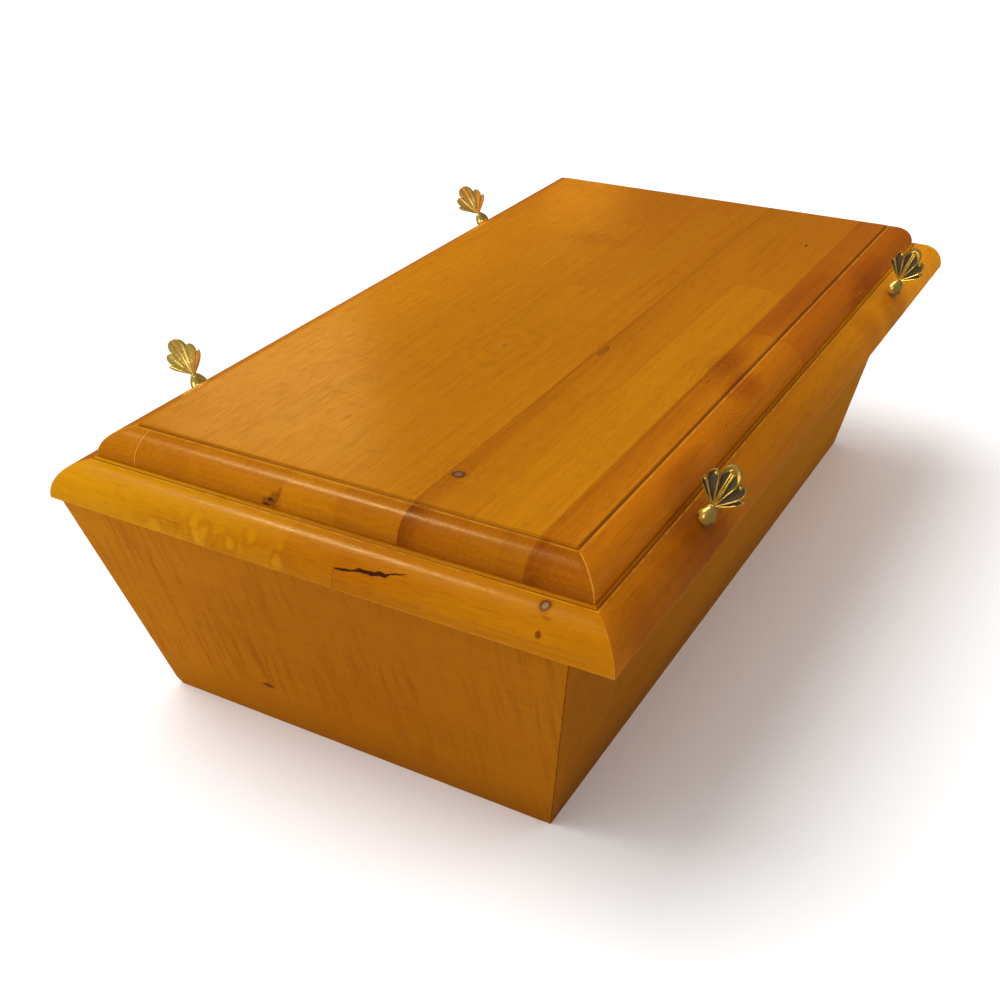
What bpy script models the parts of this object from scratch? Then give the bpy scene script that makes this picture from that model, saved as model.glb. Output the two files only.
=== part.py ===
"""Small wooden coffin: a tapered box of boards, a two-tier lid and four shell-headed coffin screws.

Metres, +Z up. The long side runs along Y and the front end faces -Y.
The origin is at the middle of the box's underside.
"""
import math

import bmesh
import bpy
from mathutils import Euler, Matrix, Vector

# box
box_height = 0.183
box_top_width = 0.3966
box_top_length = 0.7436
box_bottom_width = 0.3254
box_bottom_length = 0.6396
wall_thickness = 0.020
base_thickness = 0.018
worn_corner = 0.0035            # how far the knocked front left foot corner is worn back

# lid, which overhangs the box and lies a little to the right on it
side_overhang = 0.0167
end_overhang = 0.0045
lid_shift = 0.0134

lower_thickness = 0.027
lower_edge = 0.0015             # upright part at the bottom of the rounded border
lower_rounding = 0.0225         # width of the rounded border
lower_step = 0.0011             # shoulder between the rounded border and the field

upper_inset = 0.0254            # from the lower board's edge to the upper board's foot
upper_thickness = 0.0212
upper_edge = 0.0009
upper_rounding = 0.0206
upper_step = 0.0019
shoulder_width = 0.0014         # width of the small cove beside each raised field
border_segments = 12
cove_segments = 2

# coffin screws
screw_edge_inset = 0.0065       # from the lid's long edge to the screw's bulb
screw_end_inset = 0.154         # from the lid's short edge to the screw's bulb
screw_stand = 0.0104            # height of the bulb's middle over the rounded border
large_egg_height = 0.0130
large_egg_radius = 0.0044       # of the two lobes on the bulb's front and back
large_egg_spread = 0.0033       # from the axis to the middle of a lobe
small_egg_height = 0.0088
small_egg_radius = 0.0029       # of the two lobes at the bulb's sides
small_egg_spread = 0.0029
small_egg_drop = 0.0016         # how much lower the side lobes sit
egg_taper = 0.28                # how much narrower a lobe is at its top than at its middle, as a share
egg_lean = 0.35                 # how much closer to the axis its top is, as a share of its spread
egg_segments = 8
egg_rings = 6
collar_radius = 0.0040
rod_segments = 9
rod_turn = 7.0                  # turns the facets of the neck and collar off the fan's plane
neck_radius = 0.0017
neck_rise = 0.0049              # from the bulb's middle to the root of the fan
fan_root = 0.0012               # radius at which the fan starts, inside the neck
fan_thickness = 0.0010
fan_rim = 0.0012                # how far the ridges and the scalloped edge stand over the hollows
fan_rib = 0.0007                # and the rib along the middle lobe
rib_length = 0.75               # as a share of the middle lobe's length
fan_cup = 0.0010                # forward lift of the fan's sides over its middle
fan_sweep = 0.0026              # how far the middle lobe's tip sweeps to the back
ridge_sharpness = 4             # higher is a narrower ridge between two lobes
lobe_columns = 6
fan_rows = 8
row_crowding = 1.3              # over 1, rows lie closer together towards the edge
scroll_radius = 0.0014          # small balls near the edge of the side lobes
scroll_across = 0.50            # place of a ball across its lobe, as a share of half the lobe
scroll_row = 0.90               # and from the fan's root to its edge, as a share
sharp_angle = 40.0              # edges between faces that turn more than this stay sharp, in degrees

# the lobes' lengths from the neck, the notches between them and half of each one's spread in degrees
middle_lobe_length = 0.0322
inner_lobe_length = 0.0256
outer_lobe_length = 0.0213
inner_notch = 0.0205            # between the middle and inner lobes
outer_notch = 0.0160            # between the inner and outer lobes
side_notch = 0.0105             # where the fan's side edge meets the outer lobe
middle_half_spread = 17.0
inner_half_spread = 11.5
outer_half_spread = 6.0

# side and end of the lid, how much further from the end and how much higher a screw was left than the
# others, then its tilt outwards over the long side, its lean along it and its turn, in degrees
SCREWS = {
    "shell_screw_front_right": (1, -1, 0.0, -0.0015, 22.0, -6.0, 0.0),
    "shell_screw_back_right": (1, 1, 0.0, 0.0018, 20.0, -1.0, -8.0),
    "shell_screw_front_left": (-1, -1, 0.0, -0.0013, 33.0, 0.0, 194.0),
    "shell_screw_back_left": (-1, 1, 0.0047, 0.0012, 31.0, 7.0, 189.0),
}

# clearances
joint_gap = 0.0003              # between boards that touch, and under the screws

# sizes that follow from the values above
lid_width = box_top_width + 2 * side_overhang
lid_length = box_top_length + 2 * end_overhang
upper_width = lid_width - 2 * upper_inset
upper_length = lid_length - 2 * upper_inset
lower_bottom = box_height + joint_gap
lower_top = lower_bottom + lower_thickness
upper_bottom = lower_top + joint_gap
side_flare = math.atan2((box_top_width - box_bottom_width) / 2, box_height)
end_flare = math.atan2((box_top_length - box_bottom_length) / 2, box_height)
inner_angle = middle_half_spread + inner_half_spread
outer_angle = inner_angle + inner_half_spread + outer_half_spread

# the fan's lobes from left to right: middle angle, half spread, length, notch before and notch after it
LOBES = (
    (-outer_angle, outer_half_spread, outer_lobe_length, side_notch, outer_notch),
    (-inner_angle, inner_half_spread, inner_lobe_length, outer_notch, inner_notch),
    (0.0, middle_half_spread, middle_lobe_length, inner_notch, inner_notch),
    (inner_angle, inner_half_spread, inner_lobe_length, inner_notch, outer_notch),
    (outer_angle, outer_half_spread, outer_lobe_length, outer_notch, side_notch),
)


def clear_scene():
    for item in list(bpy.data.objects):
        bpy.data.objects.remove(item, do_unlink=True)


def make_collection(name):
    collection = bpy.data.collections.new(name)
    bpy.context.scene.collection.children.link(collection)
    return collection


def make_material(name, color, roughness, metallic=0.0):
    material = bpy.data.materials.new(name)
    material.use_nodes = True
    shader = material.node_tree.nodes["Principled BSDF"]
    shader.inputs["Base Color"].default_value = (*color, 1.0)
    shader.inputs["Roughness"].default_value = roughness
    shader.inputs["Metallic"].default_value = metallic
    return material


def add_object(name, bm, collection, material=None):
    """Put a bmesh's shape in a new object of the collection."""
    bmesh.ops.recalc_face_normals(bm, faces=bm.faces)
    mesh = bpy.data.meshes.new(name)
    bm.to_mesh(mesh)
    bm.free()
    if material:
        mesh.materials.append(material)
    item = bpy.data.objects.new(name, mesh)
    collection.objects.link(item)
    return item


def half_sizes(z):
    """Half the outer width and length of the box at height z."""
    share = z / box_height
    width = box_bottom_width + (box_top_width - box_bottom_width) * share
    length = box_bottom_length + (box_top_length - box_bottom_length) * share
    return width / 2, length / 2


def board_between(bottom, top, place):
    """A cube whose corners go where place(x_sign, y_sign, z) says."""
    bm = bmesh.new()
    bmesh.ops.create_cube(bm, size=2.0)
    for vert in bm.verts:
        z = bottom if vert.co.z < 0 else top
        x, y = place(round(vert.co.x), round(vert.co.y), z)
        vert.co = Vector((x, y, z))
    return bm


def wear_corner(bm):
    """Cut off the tip of the box's front left foot corner."""
    half_width, half_length = half_sizes(0)
    slope = Vector((-1, -1, -1)).normalized()
    corner = Vector((-half_width, -half_length, 0))
    cut = bmesh.ops.bisect_plane(
        bm, geom=bm.verts[:] + bm.edges[:] + bm.faces[:], dist=1e-7,
        plane_co=corner - slope * worn_corner / math.sqrt(3), plane_no=slope, clear_outer=True)
    edges = [item for item in cut["geom_cut"] if isinstance(item, bmesh.types.BMEdge)]
    if edges:
        bmesh.ops.contextual_create(bm, geom=edges)


def side_board(side):
    """One long wall, leaning outwards, with mitred ends."""
    across = wall_thickness / math.cos(side_flare)
    along = wall_thickness / math.cos(end_flare)
    pull = joint_gap / math.sqrt(2)

    def place(x_sign, y_sign, z):
        half_width, half_length = half_sizes(z)
        inner = x_sign != side
        x = side * (half_width - (across if inner else 0))
        y = y_sign * (half_length - (along if inner else 0) - pull)
        return x, y

    return board_between(0, box_height, place)


def end_board(end):
    """One short wall, leaning outwards, with mitred ends."""
    across = wall_thickness / math.cos(side_flare)
    along = wall_thickness / math.cos(end_flare)
    pull = joint_gap / math.sqrt(2)

    def place(x_sign, y_sign, z):
        half_width, half_length = half_sizes(z)
        inner = y_sign != end
        x = x_sign * (half_width - (across if inner else 0) - pull)
        y = end * (half_length - (along if inner else 0))
        return x, y

    return board_between(0, box_height, place)


def base_board():
    """The floor, fitted between the leaning walls."""
    across = (wall_thickness + joint_gap) / math.cos(side_flare)
    along = (wall_thickness + joint_gap) / math.cos(end_flare)

    def place(x_sign, y_sign, z):
        half_width, half_length = half_sizes(z)
        return x_sign * (half_width - across), y_sign * (half_length - along)

    return board_between(0, base_thickness, place)


def border_profile(thickness, edge, rounding, step):
    """Inset and height of a routed border, from the bottom edge up to the raised field."""
    rise = thickness - edge - step
    points = [(0.0, 0.0)]
    for index in range(border_segments + 1):
        angle = index / border_segments * math.pi / 2
        points.append((rounding * (1 - math.cos(angle)), edge + rise * math.sin(angle)))
    for index in range(1, cove_segments + 1):
        angle = index / cove_segments * math.pi / 2
        points.append((rounding + shoulder_width * math.sin(angle), thickness - step * math.cos(angle)))
    return points


def routed_board(width, length, profile, grow=0.0):
    """A board whose four edges carry the same profile, mitred at the corners."""
    bm = bmesh.new()
    bmesh.ops.create_cube(bm, size=1.0)
    (_, bottom), (_, top) = profile[0], profile[1]
    for vert in bm.verts:
        vert.co.x *= width + 2 * grow
        vert.co.y *= length + 2 * grow
        vert.co.z = bottom if vert.co.z < 0 else top + grow
    bm.faces.ensure_lookup_table()
    cap = max(bm.faces, key=lambda face: face.calc_center_median().z)
    before = profile[1]
    for inset, height in profile[2:]:
        raised = bmesh.ops.extrude_face_region(bm, geom=[cap])["geom"]
        bmesh.ops.delete(bm, geom=[cap], context="FACES_ONLY")
        cap = next(item for item in raised if isinstance(item, bmesh.types.BMFace))
        for vert in cap.verts:
            vert.co.x -= math.copysign(inset - before[0], vert.co.x)
            vert.co.y -= math.copysign(inset - before[0], vert.co.y)
            vert.co.z += height - before[1]
        before = (inset, height)
    return bm


def border_height(profile, inset):
    """Height of the border's surface at an inset from the edge."""
    for (low_inset, low), (high_inset, high) in zip(profile[1:], profile[2:]):
        if low_inset <= inset <= high_inset:
            return low + (high - low) * (inset - low_inset) / (high_inset - low_inset)
    return profile[-1][1]


def fan_point(lobe, across, row):
    """Where the fan's front lies, across a lobe from -1 to 1 and from its root to its edge as row 0 to 1."""
    middle, half_spread, length, before, after = LOBES[lobe]
    angle = math.radians(middle + half_spread * across)
    base = before + (after - before) * (across + 1) / 2
    edge = base + (length - (before + after) / 2) * math.sqrt(1 - across ** 2)
    reach = fan_root + (edge - fan_root) * row
    ridge = max(abs(across) ** ridge_sharpness, row ** (2 * ridge_sharpness))
    forward = fan_rim * row * ridge + fan_cup * (math.degrees(angle) / outer_angle) ** 2
    if middle == 0 and across == 0 and row < rib_length:
        forward += fan_rib * row
    sweep = fan_sweep * (reach / middle_lobe_length) ** 3
    return Vector((reach * math.sin(angle), sweep - forward, neck_rise + reach * math.cos(angle)))


def fan():
    """The scalloped fan, hollowed between its ridges, with its back the same distance behind all over."""
    bm = bmesh.new()
    columns = lobe_columns * len(LOBES)
    bmesh.ops.create_grid(bm, x_segments=columns, y_segments=fan_rows, size=1.0)
    for vert in bm.verts:
        column = round((vert.co.x + 1) / 2 * columns)
        lobe = min(column // lobe_columns, len(LOBES) - 1)
        across = -math.cos(math.pi * (column / lobe_columns - lobe))
        row = 1 - (1 - (vert.co.y + 1) / 2) ** row_crowding
        vert.co = fan_point(lobe, round(across, 6), row)
    back = bmesh.ops.extrude_face_region(bm, geom=bm.faces[:])["geom"]
    back_verts = [item for item in back if isinstance(item, bmesh.types.BMVert)]
    bmesh.ops.translate(bm, verts=back_verts, vec=(0, fan_thickness, 0))
    return bm


def egg(turn, height, radius, spread, drop=0.0):
    """One egg-shaped lobe of the bulb, pointed upwards."""
    bm = bmesh.new()
    bmesh.ops.create_uvsphere(bm, u_segments=egg_segments, v_segments=egg_rings, radius=1.0)
    for vert in bm.verts:
        taper = 1 - egg_taper * vert.co.z
        lean = spread * (1 - egg_lean * vert.co.z)
        vert.co = Vector((
            lean + vert.co.x * radius * taper,
            vert.co.y * radius * taper,
            vert.co.z * height / 2 - drop))
    bmesh.ops.rotate(bm, verts=bm.verts, matrix=Matrix.Rotation(turn, 3, "Z"))
    return bm


def rod(bottom, top, low_radius, high_radius):
    """A round rod or cone between two heights on the screw's axis."""
    bm = bmesh.new()
    bmesh.ops.create_cone(
        bm, cap_ends=True, segments=rod_segments, radius1=low_radius, radius2=high_radius,
        depth=top - bottom, matrix=Matrix.Translation((0, 0, (bottom + top) / 2)))
    bmesh.ops.rotate(bm, verts=bm.verts, matrix=Matrix.Rotation(math.radians(rod_turn), 3, "Z"))
    return bm


def scroll_ball(lobe):
    """The small ball near a side lobe's edge, on the side nearer the fan's middle."""
    bm = bmesh.new()
    nearer = -math.copysign(scroll_across, LOBES[lobe][0])
    place = fan_point(lobe, nearer, scroll_row)
    bmesh.ops.create_uvsphere(
        bm, u_segments=egg_segments, v_segments=egg_rings, radius=scroll_radius,
        matrix=Matrix.Translation(place))
    return bm


def screw_mesh():
    """The mesh that the four screws share, as one joined casting."""
    shapes = make_collection("shell_screw_shapes")
    neck = rod(-neck_rise / 2, neck_rise + neck_radius, collar_radius, neck_radius)
    first = add_object("screw_neck", neck, shapes)
    shapes.objects.unlink(first)
    bpy.context.scene.collection.objects.link(first)
    add_object("screw_collar", rod(-2 * screw_stand, 0, collar_radius, collar_radius), shapes)
    for side in (1, -1):
        large = egg(side * math.pi / 2, large_egg_height, large_egg_radius, large_egg_spread)
        small = egg(
            (side - 1) * math.pi / 2, small_egg_height, small_egg_radius, small_egg_spread, small_egg_drop)
        add_object(f"screw_large_egg_{side}", large, shapes)
        add_object(f"screw_small_egg_{side}", small, shapes)
    add_object("screw_fan", fan(), shapes)
    for lobe, (middle, *_) in enumerate(LOBES):
        if middle != 0:
            add_object(f"screw_ball_{lobe}", scroll_ball(lobe), shapes)
    union = first.modifiers.new("join", "BOOLEAN")
    union.operation = "UNION"
    union.solver = "EXACT"
    union.operand_type = "COLLECTION"
    union.collection = shapes
    bpy.context.view_layer.update()
    depsgraph = bpy.context.evaluated_depsgraph_get()
    mesh = bpy.data.meshes.new_from_object(first.evaluated_get(depsgraph))
    for item in [first, *shapes.objects]:
        bpy.data.objects.remove(item, do_unlink=True)
    bpy.data.collections.remove(shapes)
    mesh.name = "shell_screw"
    return mesh


def build():
    clear_scene()
    coffin = make_collection("wooden_coffin")
    cutters = make_collection("cutters")
    box_wood = make_material("stained board", (0.30, 0.105, 0.008), 0.38)
    lower_wood = make_material("golden board", (0.47, 0.20, 0.008), 0.32)
    upper_wood = make_material("amber board", (0.50, 0.17, 0.012), 0.30)
    brass = make_material("aged brass", (0.52, 0.38, 0.12), 0.36, 1.0)

    lower_profile = border_profile(lower_thickness, lower_edge, lower_rounding, lower_step)
    upper_profile = border_profile(upper_thickness, upper_edge, upper_rounding, upper_step)

    add_object("base_board", base_board(), coffin, box_wood)
    for name, side in (("side_board_left", -1), ("side_board_right", 1)):
        bm = side_board(side)
        wear_corner(bm)
        add_object(name, bm, coffin, box_wood)
    for name, end in (("end_board_front", -1), ("end_board_back", 1)):
        bm = end_board(end)
        wear_corner(bm)
        add_object(name, bm, coffin, box_wood)

    lower = add_object("lid_lower_board", routed_board(lid_width, lid_length, lower_profile),
                       coffin, lower_wood)
    lower.location = (lid_shift, 0, lower_bottom)
    upper = add_object("lid_upper_board", routed_board(upper_width, upper_length, upper_profile),
                       coffin, upper_wood)
    upper.location = (lid_shift, 0, upper_bottom)

    trim = add_object("screw_seat", routed_board(lid_width, lid_length, lower_profile, joint_gap), cutters)
    trim.location = lower.location
    trim.hide_render = True
    trim.display_type = "WIRE"

    mesh = screw_mesh()
    mesh.materials.clear()
    mesh.materials.append(brass)
    mesh.shade_smooth()
    mesh.set_sharp_from_angle(angle=math.radians(sharp_angle))
    height = lower_bottom + border_height(lower_profile, screw_edge_inset) + screw_stand
    for name, (side, end, further, higher, tilt, lean, turn) in SCREWS.items():
        item = bpy.data.objects.new(name, mesh)
        coffin.objects.link(item)
        item.location = (
            lid_shift + side * (lid_width / 2 - screw_edge_inset),
            end * (lid_length / 2 - screw_end_inset - further),
            height + higher)
        turned = Euler((0, 0, math.radians(turn))).to_matrix()
        leaned = Euler((math.radians(lean), 0, 0)).to_matrix()
        tilted = Euler((0, math.radians(side * tilt), 0)).to_matrix()
        item.rotation_euler = (tilted @ leaned @ turned).to_euler()
        seat = item.modifiers.new("seat on the border", "BOOLEAN")
        seat.operation = "DIFFERENCE"
        seat.solver = "EXACT"
        seat.object = trim


build()
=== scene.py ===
"""The small wooden coffin, dressed: grown and stained boards under varnish, and four aged brass coffin screws.

Metres, +Z up. The long side runs along Y and the front end faces -Y.
"""
import logging
import math
from dataclasses import dataclass, field
from enum import Enum
from functools import reduce

import bmesh
import bpy
from mathutils import Euler, Matrix, Vector


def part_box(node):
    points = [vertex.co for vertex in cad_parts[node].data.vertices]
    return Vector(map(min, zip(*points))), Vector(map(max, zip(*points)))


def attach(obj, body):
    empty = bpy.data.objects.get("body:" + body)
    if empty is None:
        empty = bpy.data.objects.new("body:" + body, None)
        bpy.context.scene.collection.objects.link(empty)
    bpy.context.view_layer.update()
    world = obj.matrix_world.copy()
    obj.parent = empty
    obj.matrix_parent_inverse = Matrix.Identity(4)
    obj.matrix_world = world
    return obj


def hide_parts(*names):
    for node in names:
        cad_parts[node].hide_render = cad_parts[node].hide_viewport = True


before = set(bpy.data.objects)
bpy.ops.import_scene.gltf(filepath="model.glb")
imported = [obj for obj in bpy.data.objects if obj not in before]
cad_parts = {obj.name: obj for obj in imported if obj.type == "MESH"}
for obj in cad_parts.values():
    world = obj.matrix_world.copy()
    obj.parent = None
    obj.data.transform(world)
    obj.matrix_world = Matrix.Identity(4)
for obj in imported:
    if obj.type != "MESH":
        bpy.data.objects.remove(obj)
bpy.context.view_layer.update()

log = logging.getLogger("coffin")

Colour = tuple[float, float, float]
Block = tuple[float, Colour, Colour]
Socket = bpy.types.NodeSocket
Signal = Socket | float
Material = bpy.types.Material
Piece = bpy.types.Object
Shape = bmesh.types.BMesh


class Face(Enum):
    """Where a mark lies: in a flat face, through its two axes, or on a rounded border, through all three."""

    TOP = ("x", "y")
    FRONT = ("x", "z")
    ROUND = ("x", "y", "z")


class Recipe:
    """A material's nodes, laid down step by step from the object's own coordinates."""

    def __init__(self, name: str) -> None:
        """Start a material.

        Args:
            name: What the finish is called.
        """
        self.material = bpy.data.materials.new(name)
        self.material.use_nodes = True
        self.nodes, self.links = self.material.node_tree.nodes, self.material.node_tree.links
        self.shader = self.nodes["Principled BSDF"]
        self.place = self.nodes.new("ShaderNodeTexCoord").outputs["Object"]
        self.axis = dict(zip("xyz", self.node("ShaderNodeSeparateXYZ", self.place).outputs))

    def feed(self, socket: Socket, value: Signal | Colour | None) -> None:
        """Link a socket to another one, or set its own value.

        Args:
            socket: The input that is fed.
            value: An output to link, or a number or colour.
        """
        if isinstance(value, bpy.types.NodeSocket):
            self.links.new(value, socket)
        elif value is not None:
            colour = isinstance(value, tuple) and socket.type == "RGBA"
            socket.default_value = (*value, 1.0) if colour else value

    def node(self, kind: str, *inputs: Signal | Colour | None, **settings: object) -> bpy.types.Node:
        """Add a node.

        Args:
            kind: Blender's name of the node type.
            inputs: What its sockets get, in order.
            settings: Its properties.

        Returns:
            The node.
        """
        node = self.nodes.new(kind)
        for key, value in settings.items():
            setattr(node, key, value)
        for socket, value in zip(node.inputs, inputs):
            self.feed(socket, value)
        return node

    def math(self, operation: str, *values: Signal, clamp: bool = False) -> Socket:
        """Return a sum or function of one to three numbers."""
        return self.node("ShaderNodeMath", *values, operation=operation, use_clamp=clamp).outputs[0]

    def add(self, *values: Signal) -> Socket:
        """Return the sum of several numbers."""
        return reduce(lambda total, value: self.math("ADD", total, value), values)

    def times(self, *values: Signal) -> Socket:
        """Return the product of several numbers."""
        return reduce(lambda total, value: self.math("MULTIPLY", total, value), values)

    def most(self, *values: Signal) -> Socket:
        """Return the largest of several numbers."""
        return reduce(lambda total, value: self.math("MAXIMUM", total, value), values)

    def less(self, first: Signal, second: Signal) -> Socket:
        """Return how much larger the first number is."""
        return self.math("SUBTRACT", first, second)

    def above(self, first: Signal, second: Signal) -> Socket:
        """Return 1 where the first number is the larger one, and 0 elsewhere."""
        return self.math("GREATER_THAN", first, second)

    def centred(self, value: Signal, share: float = 1.0) -> Socket:
        """Return a pattern's value less its middle, 0.5, times a share."""
        return self.times(self.add(value, -0.5), share)

    def join(self, x: Signal, y: Signal, z: Signal = 0.0) -> Socket:
        """Return the vector of two or three numbers."""
        return self.node("ShaderNodeCombineXYZ", x, y, z).outputs[0]

    def length(self, *parts: Signal) -> Socket:
        """Return the length of the vector of two or three numbers."""
        return self.node("ShaderNodeVectorMath", self.join(*parts), operation="LENGTH").outputs["Value"]

    def stretch(self, vector: Socket, scale: Colour) -> Socket:
        """Return a vector with its parts scaled."""
        return self.node("ShaderNodeVectorMath", vector, scale, operation="MULTIPLY").outputs[0]

    def noise(self, vector: Socket, scale: float = 1.0, detail: float = 2.0, rough: float = 0.5) -> Socket:
        """Add a soft random pattern from 0 to 1.

        Args:
            vector: Where it is read.
            scale: Its fineness.
            detail: How many finer layers lie on it.
            rough: How strong those are.

        Returns:
            The pattern's value.
        """
        node = self.node("ShaderNodeTexNoise")
        for name, value in (("Vector", vector), ("Scale", scale), ("Detail", detail), ("Roughness", rough)):
            self.feed(node.inputs[name], value)
        return node.outputs[0]

    def remap(self, value: Signal, low: float, high: float, start: float = 0.0, end: float = 1.0) -> Socket:
        """Ease a number from one span to another.

        Args:
            value: The number.
            low: Where the span starts.
            high: Where it ends.
            start: The result at its start.
            end: The result at its end.

        Returns:
            The eased number.
        """
        node = self.node("ShaderNodeMapRange", value, interpolation_type="SMOOTHSTEP")
        for name, number in (("From Min", low), ("From Max", high), ("To Min", start), ("To Max", end)):
            node.inputs[name].default_value = number
        return node.outputs[0]

    def remap_line(self, value: Signal, low: float, high: float) -> Socket:
        """Return how far along a span a number lies, from 0 to 1."""
        return self.math("DIVIDE", self.add(value, -low), high - low, clamp=True)

    def ramp(self, value: Signal, stops: list[tuple[float, Colour]], stepped: bool = False) -> Socket:
        """Turn a number into a colour.

        Args:
            value: The number, from 0 to 1.
            stops: Places on the ramp and their colours.
            stepped: Whether the colours change at once.

        Returns:
            The colour.
        """
        node = self.node("ShaderNodeValToRGB", value)
        band = node.color_ramp
        band.interpolation = "CONSTANT" if stepped else "LINEAR"
        band.elements.remove(band.elements[-1])
        for number, (place, colour) in enumerate(stops):
            element = band.elements[0] if number == 0 else band.elements.new(place)
            element.position = place
            element.color = (*colour, 1.0)
        return node.outputs["Color"]

    def mix(self, factor: Signal, first: Signal | Colour, second: Signal | Colour,
            kind: str = "MIX") -> Socket:
        """Mix two colours.

        Args:
            factor: How much of the second.
            first: The colour underneath.
            second: The colour on top.
            kind: Blender's name of the blend.

        Returns:
            The mixed colour.
        """
        node = self.node("ShaderNodeMix", data_type="RGBA", blend_type=kind)
        for index, value in ((0, factor), (6, first), (7, second)):
            self.feed(node.inputs[index], value)
        return node.outputs[2]

    def streaks(self, grain: Socket, across: float, along: float, detail: float = 2.0,
                rough: float = 0.5) -> Socket:
        """Return a soft pattern drawn out along the grain, from its fineness across it and along it."""
        return self.noise(self.stretch(grain, (across, along, across)), detail=detail, rough=rough)

    def near(self, value: Signal, centre: float, reach: float) -> Socket:
        """Return 1 at a value and 0 beyond its reach to either side."""
        return self.remap(self.math("ABSOLUTE", self.add(value, -centre)), 0.0, reach, 1.0, 0.0)

    def band(self, value: Signal, low: float, high: float, soft: float) -> Socket:
        """Return 1 from a low value to a high one, with soft ends, and 0 beyond them."""
        return self.times(self.remap(value, low - soft, low), self.remap(value, high, high + soft, 1.0, 0.0))

    def away(self, face: Face, centre: tuple[float, ...], stretched: tuple[float, ...]) -> Socket:
        """Return the distance from a mark's middle, with each of the face's axes stretched."""
        return self.length(*(self.times(self.add(self.axis[name], -middle), scale)
                             for name, middle, scale in zip(face.value, centre, stretched)))

    def patch(self, face: Face, centre: tuple[float, ...], size: tuple[float, ...],
              soft: float = 0.5, ragged: float = 0.0) -> Socket:
        """Mark an oval on a face.

        Args:
            face: Where it lies.
            centre: Its middle, in metres, along the face's axes.
            size: Half its size along them.
            soft: How much of it is its soft rim, as a share.
            ragged: How much noise breaks its outline.

        Returns:
            1 inside and 0 outside.
        """
        length = self.away(face, centre, tuple(1 / half for half in size))
        if ragged:
            length = self.add(length, self.centred(self.noise(self.place, 1 / max(size), 4.0, 0.7), ragged))
        return self.remap(length, 1.0 - soft, 1.0 + soft, 1.0, 0.0)

    def finish(self, colour: Socket, rough: Socket, height: Socket, strength: float,
               depth: float) -> Material:
        """Join colour, roughness and bump to the shader.

        Args:
            colour: The surface's colour.
            rough: Its roughness.
            height: Its relief.
            strength: How strongly the relief shows.
            depth: How deep it is, in metres.

        Returns:
            The material.
        """
        bump = self.node("ShaderNodeBump")
        bump.inputs["Strength"].default_value = strength
        bump.inputs["Distance"].default_value = depth
        self.feed(bump.inputs["Height"], height)
        for name, value in (("Base Color", colour), ("Roughness", rough), ("Normal", bump.outputs[0])):
            self.feed(self.shader.inputs[name], value)
        return self.material


@dataclass(frozen=True)
class Figure:
    """How a board's grain looks, each strength from 0 to 1."""

    ring_spacing: float = 0.0042
    rings: float = 0.22
    wander: float = 0.010
    fibres: float = 0.30
    pores: float = 0.22
    clouds: float = 0.45
    curl: float = 0.10
    curl_spacing: float = 0.010
    curl_slant: float = 0.0
    pith: tuple[float, float] = (0.03, 0.06)


@dataclass(frozen=True)
class Stave:
    """A strip of a glued-up board: where it starts, its tone up to its end joint and beyond it, how dark its
    joint is and how dark the wood beside the joint is."""

    start: float
    near: Colour
    joint: float
    far: Colour
    line: float = 0.3
    shadow: float = 0.0


@dataclass(frozen=True)
class Line:
    """A line that runs round a board: its half width, how deep it is where whole, how much more where broken,
    and its tone."""

    reach: float
    whole: float
    broken: float
    tone: Colour


@dataclass(frozen=True)
class Knot:
    """A knot, with the ring of darker wood round its heart."""

    face: Face
    centre: tuple[float, ...]
    size: tuple[float, ...]
    heart: Colour = (0.07, 0.022, 0.006)
    halo: float = 0.5
    ragged: float = 0.5


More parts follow.
